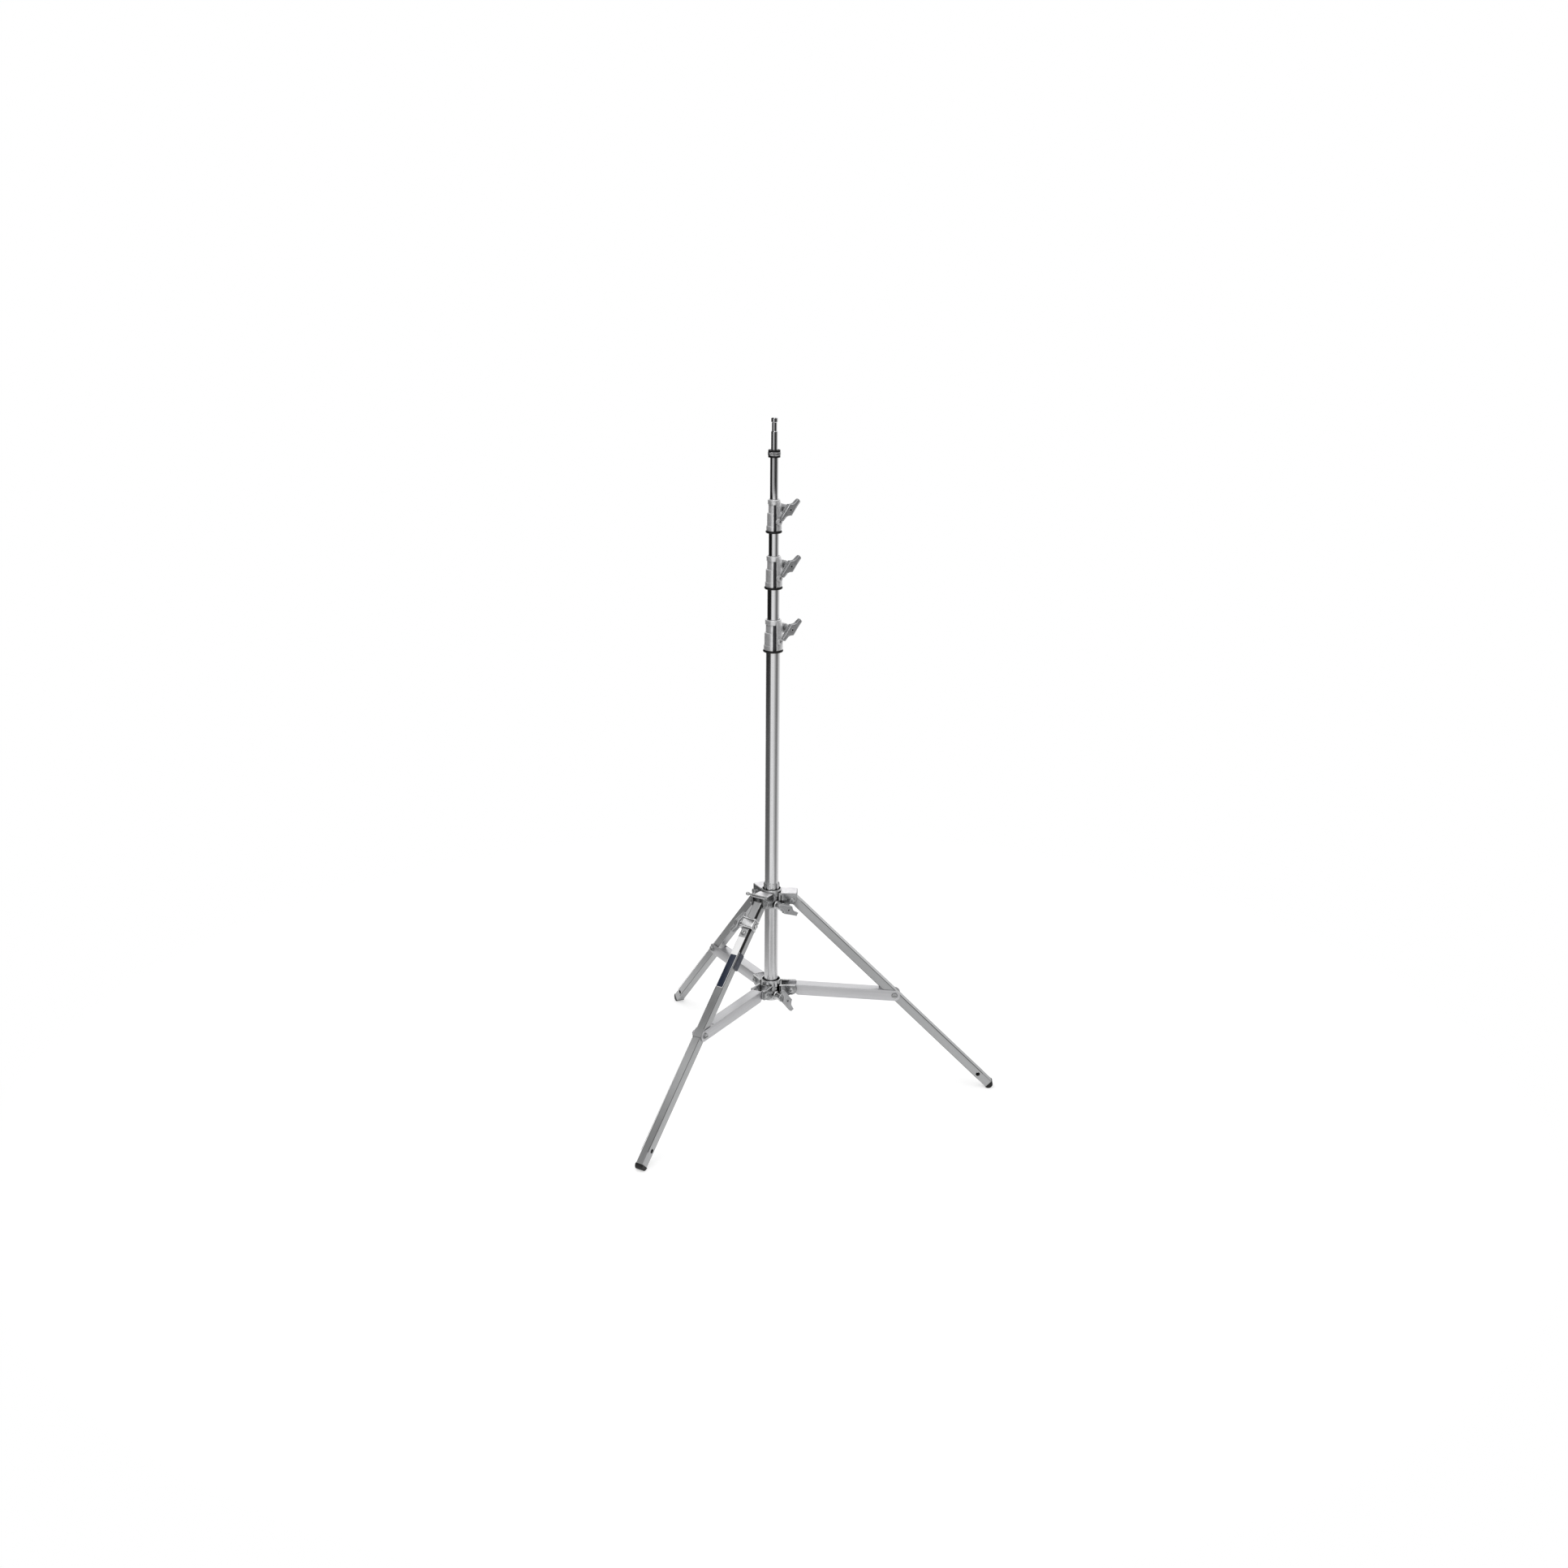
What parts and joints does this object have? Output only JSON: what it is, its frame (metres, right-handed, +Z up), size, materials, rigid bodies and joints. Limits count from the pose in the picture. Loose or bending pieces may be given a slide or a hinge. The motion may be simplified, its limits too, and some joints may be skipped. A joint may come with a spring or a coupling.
{
  "type": "lighting stand",
  "caption": "Telescopic lighting stand: clamped risers on a double-braced folding tripod with a levelling leg, ending in a plain spigot for a lamp.",
  "frame": {"origin": "floor point under the column axis", "axes": "+Z up along the column, +X along leg A, legs C and F at 120 and 240 degrees"},
  "size_m": [0.8874, 1.0248, 1.7415],
  "materials": {
    "chrome_tube": "bright chrome plate on drawn steel tube",
    "satin_steel": "satin chrome on welded square tube and folded sheet",
    "die_cast": "light grey die casting with a soft sheen",
    "cast_handle": "tumbled die casting",
    "zinc_steel": "bright zinc plate",
    "black_plastic": "moulded black",
    "black_rubber": "moulded rubber",
    "nylon": "turned nylon",
    "label_film": "printed film, left plain"
  },
  "bodies": {
    "base_hub": {"lower_hub": "die_cast", "lower_hub_rivets": "zinc_steel"},
    "lower_handle": {"lower_hub_screw": "zinc_steel", "lower_hub_handle": "cast_handle"},
    "column": {"column_tube": "chrome_tube", "column_end_plug": "black_plastic", "lock_1_casting": "die_cast", "lock_1_guide": "nylon", "lock_1_bumper": "black_rubber", "lock_1_nut": "zinc_steel"},
    "handle_1": {"lock_1_screw": "zinc_steel", "lock_1_handle": "cast_handle"},
    "riser_1": {"riser_1_tube": "chrome_tube", "riser_1_bush": "nylon", "lock_2_casting": "die_cast", "lock_2_guide": "nylon", "lock_2_bumper": "black_rubber", "lock_2_nut": "zinc_steel"},
    "handle_2": {"lock_2_screw": "zinc_steel", "lock_2_handle": "cast_handle"},
    "riser_2": {"riser_2_tube": "chrome_tube", "riser_2_bush": "nylon", "lock_3_casting": "die_cast", "lock_3_guide": "nylon", "lock_3_bumper": "black_rubber", "lock_3_nut": "zinc_steel"},
    "handle_3": {"lock_3_screw": "zinc_steel", "lock_3_handle": "cast_handle"},
    "riser_3": {"riser_3_tube": "chrome_tube", "riser_3_bush": "nylon", "spigot": "chrome_tube", "spigot_collar": "chrome_tube", "spigot_rings": "black_rubber"},
    "upper_hub": {"upper_hub": "die_cast", "upper_hub_bolts": "zinc_steel", "leg_spacers": "nylon"},
    "upper_handle": {"upper_hub_screw": "zinc_steel", "upper_hub_handle": "cast_handle"},
    "brace_a": {"brace_a": "satin_steel", "brace_a_bolt": "zinc_steel"},
    "leg_a": {"leg_a_tube": "satin_steel", "leg_a_foot": "black_plastic"},
    "brace_c": {"brace_c": "satin_steel", "brace_c_bolt": "zinc_steel"},
    "leg_c": {"leg_c_tube": "satin_steel", "leg_c_foot": "black_plastic"},
    "brace_f": {"brace_f": "satin_steel"},
    "leg_f": {"leg_f_tube": "satin_steel", "leg_f_foot": "black_plastic", "leg_f_label": "label_film"},
    "level_channel": {"level_channel": "satin_steel", "level_guide": "black_plastic", "level_clamp": "die_cast", "level_saddle": "satin_steel", "brace_f_bolt": "zinc_steel"},
    "level_handle": {"level_screw": "zinc_steel", "level_handle": "cast_handle"}
  },
  "joints": [
    {"name": "column_slide", "type": "slide", "parent": "base_hub", "child": "column", "axis": [0, 0, 1], "range_m": [-0.19, 0]},
    {"name": "riser_1_slide", "type": "slide", "parent": "column", "child": "riser_1", "axis": [0, 0, 1], "range_m": [-0.0755, 0.7]},
    {"name": "riser_2_slide", "type": "slide", "parent": "riser_1", "child": "riser_2", "axis": [0, 0, 1], "range_m": [-0.0555, 0.7]},
    {"name": "riser_3_slide", "type": "slide", "parent": "riser_2", "child": "riser_3", "axis": [0, 0, 1], "range_m": [-0.1005, 0.7]},
    {"name": "lock_1_turn", "type": "hinge", "parent": "column", "child": "handle_1", "pos_m": [0.02331, 0.01888, 1.226], "axis": [0.6293, -0.7771, 0], "range_deg": [0, 270]},
    {"name": "lock_2_turn", "type": "hinge", "parent": "riser_1", "child": "handle_2", "pos_m": [0.02137, 0.01731, 1.384], "axis": [0.6293, -0.7771, 0], "range_deg": [0, 270]},
    {"name": "lock_3_turn", "type": "hinge", "parent": "riser_2", "child": "handle_3", "pos_m": [0.01943, 0.01573, 1.522], "axis": [0.6293, -0.7771, 0], "range_deg": [0, 270]},
    {"name": "lower_clamp_turn", "type": "hinge", "parent": "base_hub", "child": "lower_handle", "pos_m": [0, 0, 0.255], "axis": [0.6428, -0.766, 0], "range_deg": [0, 270]},
    {"name": "leg_fold", "type": "hinge", "parent": "base_hub", "child": "brace_a", "pos_m": [0.054, 0, 0.27], "axis": [0, -1, 0], "range_deg": [0, 92.47]},
    {"name": "collar_slide", "type": "slide", "parent": "base_hub", "child": "upper_hub", "axis": [0, 0, 1], "range_m": [0, 0.39201]},
    {"name": "upper_clamp_turn", "type": "hinge", "parent": "upper_hub", "child": "upper_handle", "pos_m": [0, 0, 0.506], "axis": [0.6428, -0.766, 0], "range_deg": [0, 270]},
    {"name": "leg_a_fold", "type": "hinge", "parent": "brace_a", "child": "leg_a", "pos_m": [0.32175, 0, 0.25845], "axis": [0, 1, 0], "range_deg": [0, 138.03]},
    {"name": "brace_c_fold", "type": "hinge", "parent": "base_hub", "child": "brace_c", "pos_m": [-0.027, 0.04677, 0.27], "axis": [0.866, 0.5, 0], "range_deg": [0, 92.47]},
    {"name": "leg_c_fold", "type": "hinge", "parent": "brace_c", "child": "leg_c", "pos_m": [-0.16087, 0.27864, 0.25845], "axis": [-0.866, -0.5, 0], "range_deg": [0, 138.03]},
    {"name": "brace_f_fold", "type": "hinge", "parent": "base_hub", "child": "brace_f", "pos_m": [-0.027, -0.04677, 0.27], "axis": [-0.866, 0.5, 0], "range_deg": [0, 92.47]},
    {"name": "leg_f_fold", "type": "hinge", "parent": "brace_f", "child": "level_channel", "pos_m": [-0.16087, -0.27864, 0.25845], "axis": [0.866, -0.5, 0], "range_deg": [0, 138.03]},
    {"name": "level_slide", "type": "slide", "parent": "level_channel", "child": "leg_f", "axis": [-0.357, -0.6183, -0.7001], "range_m": [0, 0.05]},
    {"name": "level_clamp_turn", "type": "hinge", "parent": "level_channel", "child": "level_handle", "pos_m": [-0.0502, -0.08696, 0.47549], "axis": [-0.866, 0.5, 0], "range_deg": [0, 270]}
  ],
  "couplings": [
    {"joint": "collar_slide", "follows": "leg_fold", "m_per_rad": 0.24289},
    {"joint": "leg_a_fold", "follows": "leg_fold", "ratio": 1.4927},
    {"joint": "brace_c_fold", "follows": "leg_fold", "ratio": 1},
    {"joint": "leg_c_fold", "follows": "leg_fold", "ratio": 1.4927},
    {"joint": "brace_f_fold", "follows": "leg_fold", "ratio": 1},
    {"joint": "leg_f_fold", "follows": "leg_fold", "ratio": 1.4927}
  ]
}
